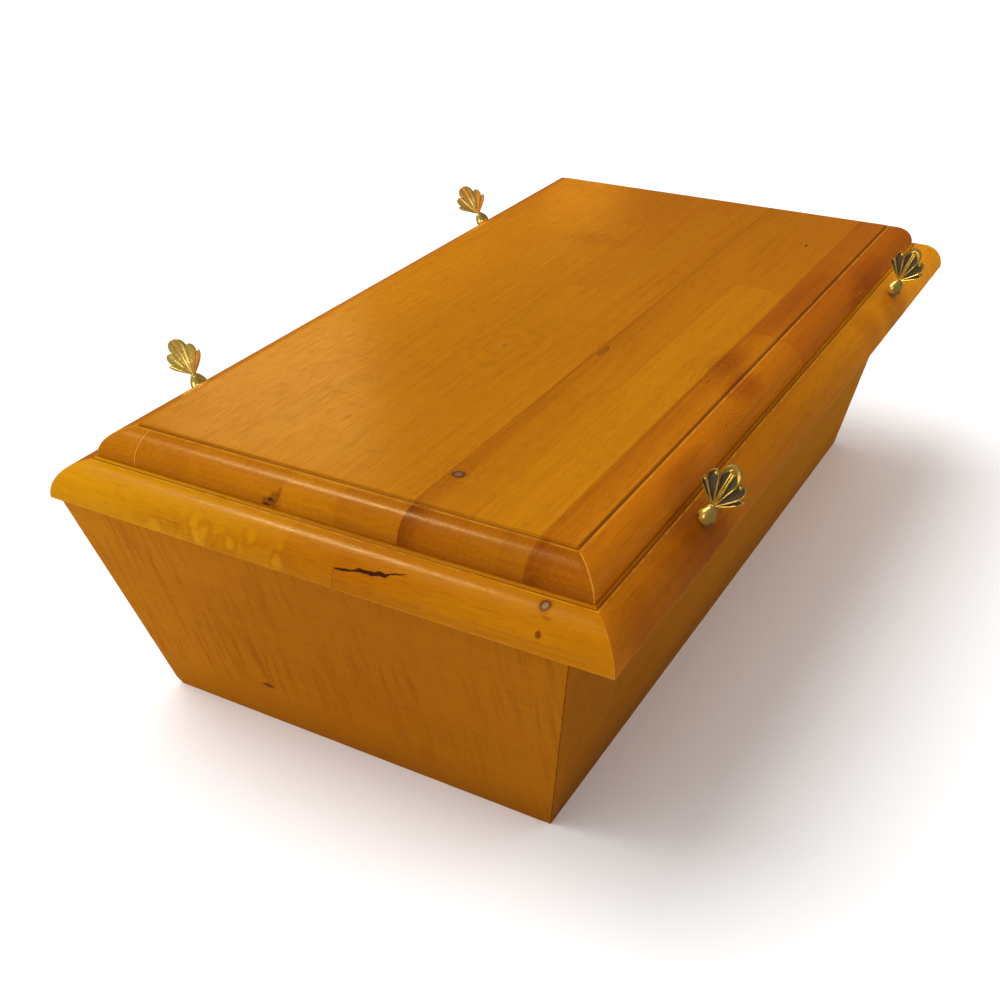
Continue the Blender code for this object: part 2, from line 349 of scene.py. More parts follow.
class Wood(Recipe):
    """A stained and varnished wood, with a grain that runs along one of the axes."""

    bright: Colour = (1.17, 1.24, 1.30)
    dark: Colour = (0.62, 0.46, 0.38)
    halo_tone: Colour = (0.45, 0.26, 0.2)
    ring_tone: Colour = (0.60, 0.42, 0.4)
    varnish_tint: Colour = (1.0, 0.88, 0.55)

    def grain(self, look: Figure, order: str, seed: Signal = 0.0) -> tuple[Socket, Socket]:
        """Lay growth rings, fibres, pores, curl and clouds.

        Args:
            look: How strong each is.
            order: The axes along the grain, across it and into the board.
            seed: Shifts the pattern from one stave to the next.

        Returns:
            The lightness, about 0.5 in the middle, and the height for the bump.
        """
        along, across, deep = (self.axis[name] for name in order)
        grain = self.join(self.add(across, self.times(seed, 0.37)), self.add(along, self.times(seed, 2.3)),
                          self.add(deep, self.times(seed, 0.11)))
        drift = self.streaks(grain, 9.0, 1.6)
        waver = self.streaks(grain, 70.0, 8.0)
        radius = self.length(
            self.add(across, self.times(seed, -0.09), -look.pith[0]), 0.0, self.add(deep, look.pith[1]))
        radius = self.add(radius, self.times(drift, look.wander * 2), self.times(waver, 0.0016))
        ring = self.math("FRACT", self.times(radius, 1 / look.ring_spacing))
        ring = self.add(self.remap(ring, 0.35, 0.90), self.remap(ring, 0.92, 1.0, 0.0, -1.0))
        fibre = self.streaks(grain, 430.0, 9.0, 3.0, 0.75)
        pore = self.remap(self.streaks(grain, 900.0, 70.0, 1.0), 0.55, 0.68)
        cloud = self.streaks(grain, 16.0, 3.0, 3.0)
        sway = self.times(self.streaks(grain, 22.0, 22.0, 1.0), 0.008)
        slant = self.times(across, look.curl_slant)
        stripe = self.join(across, self.times(self.add(along, sway, slant), 1 / look.curl_spacing), deep)
        curl = self.streaks(stripe, 16.0, 1.0, rough=0.6)
        curl = self.times(self.add(self.remap(curl, 0.34, 0.52), -0.75),
                          self.remap(drift, 0.40, 0.56, 0.25, 1.0))
        light = self.add(
            0.5, self.times(ring, -0.5 * look.rings), self.centred(fibre, look.fibres),
            self.times(pore, -0.5 * look.pores), self.centred(cloud, look.clouds), self.times(curl, look.curl))
        return light, self.add(self.times(fibre, 0.35), self.times(pore, -0.5), self.times(curl, 0.5))

    def tint(self, colour: Signal | Colour, light: Socket) -> Socket:
        """Darken or lighten a stained tone by the grain's lightness."""
        return self.mix(1.0, colour, self.mix(light, self.dark, self.bright), "MULTIPLY")

    def shade(self, colour: Signal | Colour, mask: Signal, tone: Signal | Colour) -> Socket:
        """Multiply a colour by a tone where the mask is."""
        return self.mix(mask, colour, tone, "MULTIPLY")

    def knot(self, colour: Socket, knot: Knot) -> Socket:
        """Lay a knot over a colour.

        Args:
            colour: The wood underneath.
            knot: The knot's place, size and tone.

        Returns:
            The colour with the knot in it.
        """
        wide = tuple(half * 1.35 for half in knot.size)
        halo = self.patch(knot.face, knot.centre, wide, 0.25, knot.ragged)
        heart = self.patch(knot.face, knot.centre, knot.size, 0.22, knot.ragged)
        return self.mix(heart, self.shade(colour, self.times(halo, knot.halo), self.halo_tone), knot.heart)

    def varnish(self, colour: Socket, height: Socket, rough: float, shine: float,
                dulling: Signal = 0.0) -> Material:
        """Lay the varnish over the stained wood.

        Args:
            colour: The stained wood's colour.
            height: The height of its pores and fibres.
            rough: The varnish's roughness.
            shine: How strongly it reflects.
            dulling: Where grime or bare wood makes it dull.

        Returns:
            The material.
        """
        peel, sag = self.noise(self.place, 260.0), self.noise(self.place, 38.0, 1.0)
        gloss = self.add(rough, self.centred(sag, 0.08), self.times(height, -0.05), self.times(dulling, 0.8))
        relief = self.add(self.times(height, 0.30), self.times(peel, 0.22), self.times(sag, 0.5))
        self.shader.inputs["Specular IOR Level"].default_value = shine
        self.shader.inputs["Specular Tint"].default_value = (*self.varnish_tint, 1.0)
        return self.finish(colour, gloss, relief, 0.35, 0.0006)


class LidBoard(Wood):
    """The wood of a routed board of the lid, with the marks that follow its edges."""

    rough: float = 0.21
    shine: float = 0.20
    joint_width: float = 0.0004
    cove_start: float = 0.0001
    lip_place: float = 0.0012
    chips: tuple[float, float, float]
    chipped: tuple[float, float]
    foot: Line
    cove_shade: Line
    lip: Line

    def __init__(self, name: str, board: "RoutedBoard") -> None:
        """Start the finish.

        Args:
            name: What it is called.
            board: The board that it is for.
        """
        super().__init__(name)
        self.board = board
        self.border = board.rounding
        self.right = board.shift + board.width / 2
        self.side = self.less(board.width / 2, self.math("ABSOLUTE", self.add(self.axis["x"], -board.shift)))
        self.end = self.less(board.length / 2, self.math("ABSOLUTE", self.axis["y"]))
        self.inset = self.math("MINIMUM", self.side, self.end)

    def blocks(self, blocks: tuple[Block, ...]) -> Socket:
        """Lay a row of glued blocks across the coffin.

        Args:
            blocks: Where each starts, and its tone there and at its end.

        Returns:
            The tone.
        """
        first, last = blocks[0][0], self.right
        jag = self.centred(self.noise(self.place, 260.0), 0.0016)
        place = self.remap_line(self.add(self.axis["x"], jag), first, last)
        ends = [block[0] for block in blocks[1:]] + [last]
        stops = []
        for (start, tone, later), end in zip(blocks, ends):
            stops += [((start - first) / (last - first), tone),
                      ((end - self.joint_width - first) / (last - first), later)]
        return self.ramp(place, stops)

    def lay_marks(self, colour: Socket, face: Face, marks: tuple[tuple, ...], soft: float, ragged: float,
              tone: Colour) -> Socket:
        """Lay dark marks: stained patches, and on the upper board one screw's painted shadow.

        Args:
            colour: The wood underneath.
            face: Where they lie.
            marks: The middle, half size and depth of each.
            soft: How soft their rims are.
            ragged: How much noise breaks their outlines.
            tone: What they are multiplied by.

        Returns:
            The darkened colour.
        """
        for centre, size, depth in marks:
            colour = self.shade(colour, self.times(self.patch(face, centre, size, soft, ragged), depth), tone)
        return colour

    def swirl(self, colour: Socket, face: Face, centre: tuple[float, ...], reach: float, spacing: float,
              depth: float) -> Socket:
        """Lay bent growth rings round a place where a branch stood.

        Args:
            colour: The wood underneath.
            face: Where it lies.
            centre: Its middle.
            reach: How far the rings run.
            spacing: How far apart they are.
            depth: How dark they are.

        Returns:
            The figured colour.
        """
        radius = self.away(face, centre, (1.0, 0.55, 1.0))
        bent = self.add(radius, self.times(self.noise(self.place, 42.0), 0.022))
        ring = self.math("FRACT", self.times(bent, 1 / spacing))
        ring = self.times(self.remap(ring, 0.3, 0.85), self.remap(ring, 0.88, 1.0, 1.0, 0.0))
        within = self.remap(radius, 0.35 * reach, reach, depth, 0.0)
        return self.shade(colour, self.times(ring, within), self.ring_tone)

    def edges(self, colour: Socket) -> Socket:
        """Wear the board's foot, paint shade into the small step beside its raised field and wear the lip beside
        that.

        Args:
            colour: The wood underneath.

        Returns:
            The worn colour.
        """
        broken = self.remap(self.noise(self.place, *self.chips), *self.chipped)
        for line, mask in (
                (self.foot, self.near(self.axis["z"], self.board.bottom, self.foot.reach)),
                (self.cove_shade, self.band(self.inset, self.border + self.cove_start, self.border + self.cove_shade.reach,
                                      self.cove_start)),
                (self.lip, self.near(self.inset, self.border - self.lip_place, self.lip.reach))):
            depth = self.times(mask, self.add(self.times(broken, line.broken), line.whole))
            colour = self.mix(depth, colour, line.tone)
        return colour

    def mitre(self, reach: float) -> Socket:
        """Return a mark along the four lines where the long and short borders meet."""
        return self.near(self.less(self.end, self.side), 0.0, reach)


class AmberBoard(LidBoard):
    """The lid's upper board: amber staves along the coffin, whose ends show on the front border."""

    staves: tuple[Stave, ...] = (
        Stave(-0.178, (0.485, 0.172, 0.001), 0.180, (0.475, 0.160, 0.001), 0.0),
        Stave(-0.143, (0.485, 0.170, 0.001), -0.020, (0.485, 0.166, 0.001), 0.4),
        Stave(-0.082, (0.490, 0.176, 0.001), 0.220, (0.475, 0.160, 0.001), 0.2),
        Stave(-0.019, (0.485, 0.176, 0.001), 0.050, (0.480, 0.162, 0.001), 0.3),
        Stave(0.016, (0.480, 0.172, 0.001), 0.290, (0.475, 0.158, 0.001), 0.15),
        Stave(0.042, (0.480, 0.172, 0.001), -0.120, (0.475, 0.162, 0.001), 0.15),
        Stave(0.070, (0.470, 0.162, 0.001), -0.056, (0.480, 0.166, 0.001), 0.9, 0.65),
        Stave(0.112, (0.510, 0.188, 0.001), 0.115, (0.475, 0.160, 0.001), 0.25),
        Stave(0.1575, (0.490, 0.160, 0.001), 0.020, (0.450, 0.132, 0.001), 0.25, 0.75))
    ends: tuple[Block, ...] = (
        (-0.178, (1.00, 0.96, 1.0), (1.00, 0.96, 1.0)), (-0.144, (0.94, 0.88, 1.0), (0.90, 0.84, 1.0)),
        (-0.097, (0.97, 0.92, 1.0), (0.93, 0.87, 1.0)), (-0.057, (0.93, 0.86, 1.0), (0.88, 0.80, 1.0)),
        (-0.020, (1.02, 0.99, 1.0), (0.96, 0.92, 1.0)), (0.022, (0.84, 0.75, 1.0), (0.90, 0.82, 1.0)),
        (0.070, (0.60, 0.45, 1.0), (0.74, 0.62, 1.0)), (0.083, (0.75, 0.63, 1.0), (0.80, 0.69, 1.0)),
        (0.112, (0.74, 0.63, 1.0), (0.76, 0.65, 1.0)), (0.138, (0.69, 0.58, 1.0), (0.74, 0.63, 1.0)),
        (0.156, (0.66, 0.55, 1.0), (0.74, 0.63, 1.0)))
    knots: tuple[Knot, ...] = (
        Knot(Face.TOP, (0.0765, -0.2875), (0.0046, 0.0042), (0.13, 0.030, 0.004), 0.3, 0.3),
        Knot(Face.TOP, (0.0765, -0.2875), (0.0026, 0.0026), (0.16, 0.10, 0.07), 0.0, 0.3),
        Knot(Face.TOP, (0.074, -0.066), (0.0016, 0.0070), (0.24, 0.085, 0.006), 0.7, 0.9),
        Knot(Face.TOP, (0.134, 0.237), (0.0010, 0.0030), (0.12, 0.03, 0.004), 0.5),
        Knot(Face.TOP, (0.003, -0.092), (0.0012, 0.0026), (0.30, 0.10, 0.006), 0.4),
        Knot(Face.ROUND, (-0.0215, -0.3475, 0.2215), (0.0012, 0.0050, 0.0026), (0.26, 0.080, 0.004), 0.5, 1.0),
        Knot(Face.ROUND, (-0.0240, -0.3490, 0.2180), (0.0026, 0.0050, 0.0026), (0.24, 0.070, 0.004), 0.6, 1.0),
        Knot(Face.ROUND, (-0.0285, -0.3505, 0.2145), (0.0046, 0.0050, 0.0022), (0.22, 0.065, 0.004), 0.6, 1.2),
        Knot(Face.ROUND, (-0.0270, -0.3500, 0.2165), (0.0022, 0.0030, 0.0011), (0.07, 0.020, 0.003), 0.0, 1.4),
        Knot(Face.ROUND, (-0.0305, -0.3520, 0.2125), (0.0030, 0.0030, 0.0010), (0.06, 0.018, 0.003), 0.0, 1.4))
    # Dark marks on the upper board: stained patches, except the one at (0.200, -0.205), which is the front right
    # screw's painted shadow on the right border.
    dark_marks: tuple[tuple, ...] = (
        ((0.166, -0.044), (0.011, 0.028), 0.6), ((0.187, -0.070), (0.010, 0.022), 0.75),
        ((0.174, 0.110), (0.013, 0.070), 0.50), ((0.205, 0.172), (0.007, 0.030), 0.6),
        ((0.196, 0.215), (0.010, 0.034), 0.4), ((0.200, -0.205), (0.010, 0.030), 0.45),
        ((-0.045, 0.166), (0.030, 0.016), 0.25))
    swirls: tuple[tuple, ...] = (
        (Face.TOP, (-0.039, 0.180), 0.040, 0.0080, 0.20), (Face.TOP, (0.003, -0.092), 0.050, 0.0120, 0.16),
        (Face.TOP, (0.0765, -0.2875), 0.026, 0.0040, 0.22), (Face.TOP, (0.080, -0.060), 0.024, 0.0040, 0.26),
        (Face.TOP, (0.163, -0.064), 0.026, 0.0044, 0.25),
        (Face.ROUND, (0.2020, -0.122, 0.212), 0.030, 0.0021, 0.60))
    figure: Figure = Figure(rings=0.10, fibres=0.55, clouds=0.16, pores=0.32, curl=0.04)
    chips: tuple[float, float, float] = (90.0, 3.0, 0.5)
    chipped: tuple[float, float] = (0.35, 0.60)
    foot: Line = Line(0.0010, 0.2, 0.4, (0.60, 0.26, 0.02))
    # Painted shade: a dark line in the small step where the raised field rises from the border.
    cove_shade: Line = Line(0.0009, 0.75, 0.0, (0.13, 0.024, 0.0005))
    lip: Line = Line(0.0012, 0.20, 0.35, (0.66, 0.30, 0.02))
    stave_line: float = 0.0006
    stave_shadow: float = 0.022
    shadow_tone: Colour = (0.66, 0.50, 0.5)
    border_tone: Colour = (1.02, 0.92, 0.9)
    rosy_tone: Colour = (0.90, 0.80, 0.8)
    # Painted highlight: the tone that lightens the left part of the top, where the window's light falls.
    painted_highlight_tone: Colour = (1.24, 1.32, 1.0)
    joint_tone: Colour = (0.60, 0.45, 0.4)
    mark_tone: Colour = (0.62, 0.42, 0.32)
    pale_joint_at: float = -0.1425
    pale_joint_tone: Colour = (0.70, 0.34, 0.05)
    mitre_tone: Colour = (0.70, 0.34, 0.03)

    def stave_tones(self) -> tuple[Socket, Socket, Socket]:
        """Give each stave its tone.

        Returns:
            The stave's colour, its own number from 0 to 1, and the dark of the joints between staves.
        """
        first = self.staves[0].start
        wavy = self.add(self.axis["x"], self.times(self.noise(self.place, 30.0, 1.0), 0.0008))
        place = self.remap_line(wavy, first, self.right)
        share = [(stave.start - first) / (self.right - first) for stave in self.staves]
        near, far, ends, seed = (self.ramp(place, list(zip(share, tones)), True) for tones in (
            [stave.near for stave in self.staves], [stave.far for stave in self.staves],
            [(0.5 + stave.joint,) * 3 for stave in self.staves],
            [((number * 0.37 + 0.1) % 1,) * 3 for number in range(len(self.staves))]))
        past = self.less(self.add(self.axis["y"], 0.5), ends)
        beyond = self.above(past, 0.0)
        seed = self.add(seed, self.times(beyond, 0.53))
        line = self.most(*(self.times(self.near(wavy, stave.start, self.stave_line), stave.line)
                           for stave in self.staves[1:]))
        shadow = self.most(*(
            self.times(self.above(wavy, stave.start),
                       self.remap(wavy, stave.start, stave.start + self.stave_shadow, stave.shadow, 0.0))
            for stave in self.staves if stave.shadow))
        streaky = self.remap(self.streaks(self.place, 260.0, 5.0, 3.0), 0.30, 0.62, 0.45, 1.0)
        fading = self.remap(self.axis["y"], -0.05, 0.10, 1.0, 0.45)
        butt = self.times(self.near(past, 0.0, self.stave_line), 0.20)
        tone = self.shade(self.mix(beyond, near, far), self.times(shadow, streaky, fading), self.shadow_tone)
        return tone, seed, self.most(line, butt)

    def make(self) -> Material:
        """Build the material.

        Returns:
            The material.
        """
        tone, seed, joints = self.stave_tones()
        light, height = self.grain(self.figure, "yxz", seed)
        short = self.less(self.end, self.side)
        bordered = self.remap(self.inset, self.border - self.joint_width, self.border, 1.0, 0.0)
        on_end = self.times(self.remap(short, -self.joint_width, self.joint_width, 1.0, 0.0), bordered)
        on_side = self.times(self.remap(short, -self.joint_width, self.joint_width), bordered)
        lined = self.noise(self.stretch(self.place, (14.0, 420.0, 420.0)), rough=0.6)
        fine = self.mix(lined, (0.80, 0.70, 0.7), (1.20, 1.28, 1.2))
        colour = self.tint(tone, light)
        colour = self.shade(colour, on_end, self.shade(self.blocks(self.ends), 1.0, fine))
        # Painted highlight: a soft patch that lightens the left part of the top, standing in for the window's
        # light.
        painted_highlight = self.patch(Face.TOP, (-0.170, 0.120), (0.090, 0.300), 0.6, 0.3)
        rosy = self.times(self.remap(self.axis["y"], -0.05, 0.36), 0.5)
        for mask, shade in ((on_side, self.border_tone), (rosy, self.rosy_tone), (painted_highlight, self.painted_highlight_tone),
                            (joints, self.joint_tone)):
            colour = self.shade(colour, mask, shade)
        pale_joint = self.times(self.near(self.axis["x"], self.pale_joint_at, self.stave_line), on_end, 0.8)
        colour = self.mix(pale_joint, colour, self.pale_joint_tone)
        colour = self.lay_marks(colour, Face.TOP, self.dark_marks, 0.7, 0.9, self.mark_tone)
        for swirl in self.swirls:
            colour = self.swirl(colour, *swirl)
        for knot in self.knots:
            colour = self.knot(colour, knot)
        fading = self.remap(self.inset, self.border - 0.004, self.border, 0.75, 0.0)
        colour = self.mix(self.times(self.mitre(0.0009), fading), self.edges(colour), self.mitre_tone)
        return self.varnish(colour, height, self.rough, self.shine)


class GoldenBoard(LidBoard):
    """The lid's lower board: golden strips, laid along each side and mitred at the corners."""

    front: tuple[Block, ...] = (
        (-0.205, (0.640, 0.285, 0.001), (0.515, 0.195, 0.001)),
        (-0.002, (0.490, 0.175, 0.001), (0.480, 0.165, 0.001)),
        (0.0372, (0.445, 0.142, 0.001), (0.485, 0.172, 0.001)),
        (0.120, (0.485, 0.172, 0.001), (0.48, 0.168, 0.001)))
    sides: tuple[tuple[float, Colour], ...] = (
        (-0.380, (0.445, 0.134, 0.001)), (-0.200, (0.420, 0.125, 0.001)), (-0.060, (0.430, 0.138, 0.001)),
        (0.080, (0.530, 0.182, 0.001)), (0.300, (0.840, 0.315, 0.003)))
    knots: tuple[Knot, ...] = (
        Knot(Face.ROUND, (0.1770, -0.3610, 0.2080), (0.0036, 0.0042, 0.0042), (0.14, 0.035, 0.004), 0.3, 0.3),
        Knot(Face.ROUND, (0.1770, -0.3610, 0.2080), (0.0018, 0.0024, 0.0024), (0.24, 0.13, 0.06), 0.0, 0.3),
        Knot(Face.ROUND, (0.1790, -0.3740, 0.1960), (0.0016, 0.0030, 0.0018), (0.20, 0.045, 0.004), 0.7),
        Knot(Face.ROUND, (0.1810, -0.3670, 0.2035), (0.0034, 0.0010, 0.0010), (0.30, 0.085, 0.004), 0.4))
    dark_marks: tuple[tuple, ...] = (
        ((0.222, -0.218), (0.016, 0.026), 0.65), ((0.224, -0.262), (0.012, 0.034), 0.55),
        ((0.226, -0.330), (0.011, 0.026), 0.45), ((0.212, -0.236), (0.010, 0.022), 0.40),
        ((0.222, 0.206), (0.012, 0.022), 0.55), ((0.219, 0.148), (0.012, 0.022), 0.40),
        ((0.224, 0.236), (0.016, 0.016), 0.40), ((-0.196, -0.222), (0.014, 0.014), 0.35))
    bends: tuple[tuple[float, float, float], ...] = (
        (0.0365, 0.1972, 0.0001), (0.0400, 0.1973, 0.0006), (0.0450, 0.1977, 0.0008), (0.0500, 0.1986, 0.0005),
        (0.0540, 0.1997, 0.0009), (0.0600, 0.2001, 0.0009), (0.0640, 0.1999, 0.0012), (0.0690, 0.2012, 0.0011),
        (0.0735, 0.2008, 0.0009), (0.0765, 0.2024, 0.0004), (0.0800, 0.2031, 0.0004), (0.0870, 0.2043, 0.0001))
    figure: Figure = Figure(rings=0.13, fibres=0.45, clouds=0.22, pores=0.35, curl=0.04, ring_spacing=0.0060)
    chips: tuple[float, float, float] = (120.0, 4.0, 0.6)
    chipped: tuple[float, float] = (0.40, 0.60)
    foot: Line = Line(0.0012, 0.2, 0.6, (0.66, 0.32, 0.03))
    # Painted shade: a dark line in the small step where the raised field rises from the border.
    cove_shade: Line = Line(0.0008, 0.85, 0.0, (0.13, 0.026, 0.0005))
    lip: Line = Line(0.0010, 0.1, 0.4, (0.72, 0.34, 0.02))
    front_from: float = -0.30
    crack_tone: Colour = (0.040, 0.010, 0.001)
    fine_crack_at: float = 0.0378
    fine_crack_tone: Colour = (0.13, 0.035, 0.003)
    mark_tone: Colour = (0.50, 0.34, 0.26)
    red_tone: Colour = (0.82, 0.66, 0.5)
    mitre_tone: Colour = (0.66, 0.30, 0.02)
    shell_tone: Colour = (0.72, 0.33, 0.004)
    shell_rim_tone: Colour = (0.72, 0.54, 0.5)

    def crack(self) -> Socket:
        """Mark the split in the front border, along a broken line of places, heights and half widths.

        Returns:
            1 in the split and 0 outside it.
        """
        first, last = self.bends[0][0], self.bends[-1][0]
        low = min(height for _, height, _ in self.bends)
        line = self.ramp(self.remap_line(self.axis["x"], first, last), [
            ((x - first) / (last - first), ((height - low) * 50, width * 200, 0.0))
            for x, height, width in self.bends])
        parts = self.node("ShaderNodeSeparateColor", line).outputs
        height = self.add(self.times(parts[0], 1 / 50), low)
        jag = self.centred(self.noise(self.place, 420.0, 4.0, 0.75), 0.0020)
        away = self.math("ABSOLUTE", self.less(self.add(self.axis["z"], jag), height))
        inside = self.less(self.times(parts[1], 1 / 200), away)
        return self.times(self.remap(inside, -0.0002, 0.0002), self.above(self.axis["x"], first),
                          self.above(last, self.axis["x"]), self.above(self.front_from, self.axis["y"]))

    def make(self) -> Material:
        """Build the material.

        Returns:
            The material.
        """
        at_end = self.above(self.less(self.side, self.end), 0.0)
        reach = self.board.length / 2
        side_tone = self.ramp(self.remap_line(self.axis["y"], -reach, reach), [
            (max((at + reach) / (2 * reach), 0.0), tone) for at, tone in self.sides])
        end_light, end_height = self.grain(self.figure, "xzy", 0.2)
        side_light, side_height = self.grain(self.figure, "yxz", 0.7)
        end_tone = self.blocks(self.front)
        colour = self.mix(at_end, self.tint(side_tone, side_light), self.tint(end_tone, end_light))
        height = self.add(self.times(end_height, at_end), self.times(side_height, self.less(1.0, at_end)))
        colour = self.lay_marks(self.shells(colour), Face.TOP, self.dark_marks, 0.8, 1.1, self.mark_tone)
        colour = self.lay_marks(colour, Face.FRONT, (((0.040, 0.198), (0.060, 0.010), 0.35),), 0.8, 0.9,
                            self.red_tone)
        for knot in self.knots:
            colour = self.knot(colour, knot)
        colour = self.mix(self.times(self.mitre(0.0007), 0.35), self.edges(colour), self.mitre_tone)
        split = self.crack()
        waver = self.times(self.noise(self.place, 200.0), 0.0012)
        fine = self.times(self.near(self.add(self.axis["x"], waver), self.fine_crack_at, 0.0004),
                          self.above(self.front_from, self.axis["y"]),
                          self.remap(self.axis["z"], 0.1965, 0.1985, 0.8, 0.0))
        colour = self.mix(split, self.mix(fine, colour, self.fine_crack_tone), self.crack_tone)
        return self.varnish(colour, self.add(height, self.times(split, -3.0)), self.rough, self.shine, split)

    def shells(self, colour: Socket) -> Socket:
        """Lay the shell-like figure at the left of the front border.

        Args:
            colour: The wood underneath.

        Returns:
            The figured colour.
        """
        field = self.patch(Face.FRONT, (-0.056, 0.1920), (0.064, 0.0095), 0.5, 0.4)
        bend = self.times(self.noise(self.place, 60.0, 1.0), 0.012)
        cells = self.node("ShaderNodeTexVoronoi", feature="SMOOTH_F1")
        spread = self.join(self.add(self.axis["x"], bend), 0.0, self.times(self.add(self.axis["z"], bend), 0.8))
        for name, value in (("Vector", spread), ("Scale", 82.0), ("Smoothness", 0.35)):
            self.feed(cells.inputs[name], value)
        lobes = cells.outputs["Distance"]
        bright = self.times(self.remap(lobes, 0.10, 0.52, 1.0, 0.0), field, 0.36)
        rim = self.times(self.band(lobes, 0.48, 0.56, 0.14), field, 0.45)
        return self.shade(self.mix(bright, colour, self.shell_tone), rim, self.shell_rim_tone)


@dataclass(frozen=True)
class BoxWood:
    """The box's boards: orange-brown, with a curly figure across the grain, and tones that change along it."""

    name: str
    order: str
    tones: tuple[tuple[float, Colour], ...]
    figure: Figure
    seed: float

    def make(self) -> Material:
        """Build the material.

        Returns:
            The material.
        """
        wood = Wood(self.name)
        light, height = wood.grain(self.figure, self.order, self.seed)
        first, last = self.tones[0][0], self.tones[-1][0]
        place = wood.remap_line(wood.axis[self.order[0]], first, last)
        tone = wood.ramp(place, [((at - first) / (last - first), tone) for at, tone in self.tones])
        colour = wood.tint(tone, light)
        broken = wood.remap(wood.noise(wood.place, 110.0, 4.0, 0.6), 0.45, 0.62)
        foot = wood.remap(wood.axis["z"], 0.0004, 0.0020, 1.0, 0.0)
        worn = wood.times(foot, wood.add(wood.times(broken, 0.7), 0.1))
        colour = wood.mix(worn, colour, (0.66, 0.32, 0.03))
        if self.order[0] == "x":
            shaded = wood.patch(Face.FRONT, (0.02, 0.11), (0.12, 0.085), 0.9, 0.5)
            colour = wood.shade(colour, wood.times(shaded, 0.7), (0.78, 0.68, 0.6))
            knot = Knot(Face.FRONT, (-0.062, 0.042), (0.0042, 0.0016), (0.16, 0.04, 0.01), 0.6)
            colour = wood.mix(wood.above(0.0, wood.axis["y"]), colour, wood.knot(colour, knot))
        return wood.varnish(colour, height, 0.40, 0.04)


@dataclass(frozen=True)
class AgedBrass:
    """Yellow brass with dark brown patina in its hollows, and painted shade on the bulb's side lobes, its
    underside and the stem below it.
    """

    polished: Colour = (0.90, 0.62, 0.13)
    olive: Colour = (0.66, 0.46, 0.030)
    # The patina's colour, also used for the painted shade on the bulb and the stem.
    patina: Colour = (0.050, 0.029, 0.019)

    def make(self) -> Material:
        """Build the material.

        Returns:
            The material.
        """
        metal = Recipe("aged brass")
        patina_and_shade = metal.node("ShaderNodeAttribute", attribute_name="patina_and_shade").outputs["Fac"]
        mottle = metal.noise(metal.place, 700.0, 3.0, 0.6)
        smear = metal.noise(metal.place, 180.0)
        # The dark mask: patina in the hollows and, on the bulb and the stem, painted shade.
        dulling = metal.remap(metal.add(patina_and_shade, metal.centred(mottle, 0.5)), 0.25, 0.75)
        tone = metal.mix(metal.remap(smear, 0.38, 0.62), self.polished, self.olive)
        tone = metal.mix(metal.remap(patina_and_shade, 0.0, 0.35), self.polished, tone)
        rough = metal.add(0.24, metal.times(dulling, 0.34), metal.centred(mottle, 0.12))
        metal.feed(metal.shader.inputs["Metallic"], metal.less(0.80, metal.times(dulling, 0.5)))
        return metal.finish(metal.mix(metal.times(dulling, 0.96), tone, self.patina), rough, mottle, 0.25, 0.0002)


def put_piece(name: str, bm: Shape, material: Material, slot: str, *nodes: str,
              sharp: float = 40.0) -> Piece:
    """Turn a shape into a finished piece that stands for CAD nodes.

    Args:
        name: What the piece is called.
        bm: Its shape, in place. It is freed.
        material: Its finish.
        slot: The record's material slot. Not used.
        nodes: The CAD nodes that it replaces.
        sharp: The angle in degrees over which an edge stays sharp.

    Returns:
        The piece.
    """
    bmesh.ops.recalc_face_normals(bm, faces=bm.faces)
    mesh = bpy.data.meshes.new(name)
    bm.to_mesh(mesh)
    bm.free()
    mesh.materials.append(material)
    mesh.shade_smooth()
    mesh.set_sharp_from_angle(angle=math.radians(sharp))
    piece = bpy.data.objects.new(name, mesh)
    bpy.context.scene.collection.objects.link(piece)
    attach(piece, "root")
    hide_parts(*nodes)
    log.info("%s: %d faces", name, len(mesh.polygons))
    return piece


def eased_copy(node: str, ease: float, cut: float) -> Shape:
    """Copy a CAD node's shape and ease its arrises.

    Args:
        node: The CAD node.
        ease: How wide the eased edge is.
        cut: The spacing of the cross cuts that carry the surface.

    Returns:
        The eased shape.
    """
    bm = bmesh.new()
    bm.from_mesh(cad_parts[node].data)
    bmesh.ops.remove_doubles(bm, verts=bm.verts, dist=1e-5)
    bmesh.ops.dissolve_limit(bm, angle_limit=math.radians(1), verts=bm.verts, edges=bm.edges)
    bmesh.ops.bevel(bm, geom=bm.edges[:], offset=ease, segments=2, profile=0.5, affect="EDGES", material=-1)
    lowest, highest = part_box(node)
    for axis in range(3):
        steps = int((highest[axis] - lowest[axis]) / cut)
        for step in range(1, steps):
            point, normal = Vector(), Vector()
            point[axis] = lowest[axis] + (highest[axis] - lowest[axis]) * step / steps
            normal[axis] = 1
            geometry = bm.verts[:] + bm.edges[:] + bm.faces[:]
            bmesh.ops.bisect_plane(bm, geom=geometry, dist=1e-6, plane_co=point, plane_no=normal)
    return bm


